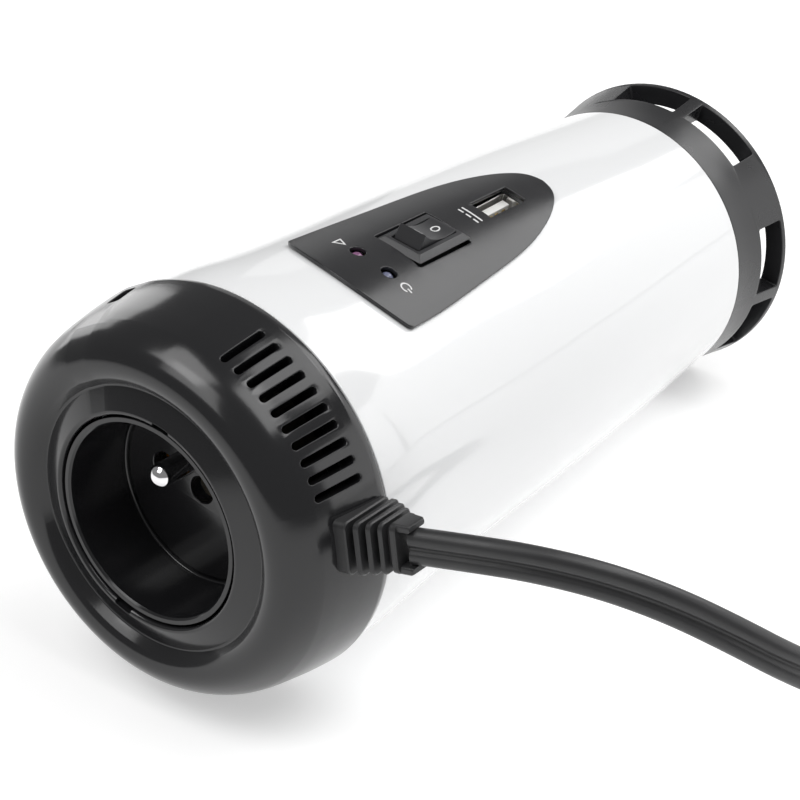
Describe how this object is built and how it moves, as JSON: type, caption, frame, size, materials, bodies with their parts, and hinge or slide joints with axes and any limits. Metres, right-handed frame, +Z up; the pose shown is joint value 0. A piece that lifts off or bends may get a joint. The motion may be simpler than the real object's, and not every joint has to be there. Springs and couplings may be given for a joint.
{
  "type": "power inverter",
  "caption": "Can-shaped car power inverter with a mains socket, USB port, rocker switch, fan and a lead to a 12 V plug.",
  "frame": {"origin": "on the floor under the middle of the can as it lies, without its lead", "axes": "+Y along the can from the socket to the base rim, +Z up, +X towards the lead's side"},
  "size_m": [0.2402, 0.1836, 0.0803],
  "materials": {
    "black_gloss": "glossy moulded",
    "white_gloss": "glossy moulded",
    "black_satin": "fine satin texture",
    "panel_grey": "satin printed",
    "white_plastic": "moulded",
    "beige_plastic": "moulded",
    "nickel": "plated",
    "steel": "zinc plated",
    "brass": "bare",
    "aluminium": "extruded",
    "circuit_board": "solder mask",
    "ferrite": "sintered",
    "winding_tape": "taped",
    "glass": "clear",
    "clear_lens": "clear resin",
    "black_rubber": "soft vinyl"
  },
  "bodies": {
    "housing": {"socket_cap": "black_gloss", "body_shell": "white_gloss", "base_ring": "black_satin", "base_plate": "black_satin", "socket_insert": "black_gloss", "socket_floor": "black_gloss", "insert_screws": "steel", "contact_block": "beige_plastic", "earth_pin": "nickel", "socket_contacts": "brass", "socket_screw": "steel", "socket_nut": "steel", "control_panel": "panel_grey", "led_power": "clear_lens", "led_fault": "clear_lens", "led_board": "circuit_board", "switch_frame": "black_satin", "switch_terminals": "brass", "usb_shell": "nickel", "usb_tongue": "white_plastic", "usb_contacts": "brass", "usb_board": "circuit_board", "main_board": "circuit_board", "transformer_core": "ferrite", "transformer_winding": "winding_tape", "heatsinks": "aluminium", "transistors": "black_satin", "capacitors": "black_satin", "choke": "ferrite", "board_fuse": "glass", "buzzer": "black_satin", "control_chips": "black_satin", "fan_frame": "black_satin", "fan_bearing": "brass", "fan_screws": "steel", "input_leads": "black_rubber", "output_leads": "white_plastic", "switch_leads": "black_rubber", "usb_leads": "black_rubber", "strain_relief": "black_rubber", "power_cord": "black_rubber", "power_cord_end": "black_rubber", "cord_coil": "black_rubber", "coil_tie": "black_satin", "plug_upper_shell": "black_gloss", "plug_lower_shell": "black_gloss", "plug_nose": "black_gloss", "plug_spring": "steel", "plug_screw": "steel", "plug_lens": "clear_lens", "plug_boot": "black_rubber"},
    "rocker": {"switch_rocker": "black_satin", "rocker_pin": "steel"},
    "fan": {"fan_rotor": "black_satin", "fan_shaft": "steel"},
    "plug_tip": {"plug_tip": "nickel", "plug_fuse": "glass"},
    "plug_contact_left": {"plug_contact_left": "nickel"},
    "plug_contact_right": {"plug_contact_right": "nickel"}
  },
  "joints": [
    {"name": "rocker_tilt", "type": "hinge", "parent": "housing", "child": "rocker", "pos_m": [0.0101, -0.01819, 0.07286], "axis": [0.9848, -0.0047, -0.1736], "range_deg": [0, 26]},
    {"name": "fan_spin", "type": "hinge", "parent": "housing", "child": "fan", "pos_m": [0, 0.0642, 0.03489], "axis": [0, 0.9992, -0.0397], "continuous": true},
    {"name": "tip_push", "type": "slide", "parent": "housing", "child": "plug_tip", "axis": [0, 1, 0], "range_m": [0, 0.0035], "stiffness_N_per_m": 250, "springref_m": -0.004},
    {"name": "left_contact_press", "type": "hinge", "parent": "housing", "child": "plug_contact_left", "pos_m": [0.1795, -0.075, 0.01305], "axis": [0, 0, -1], "range_deg": [0, 6], "stiffness_Nm_per_rad": 0.1, "springref_deg": -2.86},
    {"name": "right_contact_press", "type": "hinge", "parent": "housing", "child": "plug_contact_right", "pos_m": [0.1945, -0.075, 0.01305], "axis": [0, 0, 1], "range_deg": [0, 6], "stiffness_Nm_per_rad": 0.1, "springref_deg": -2.86}
  ]
}
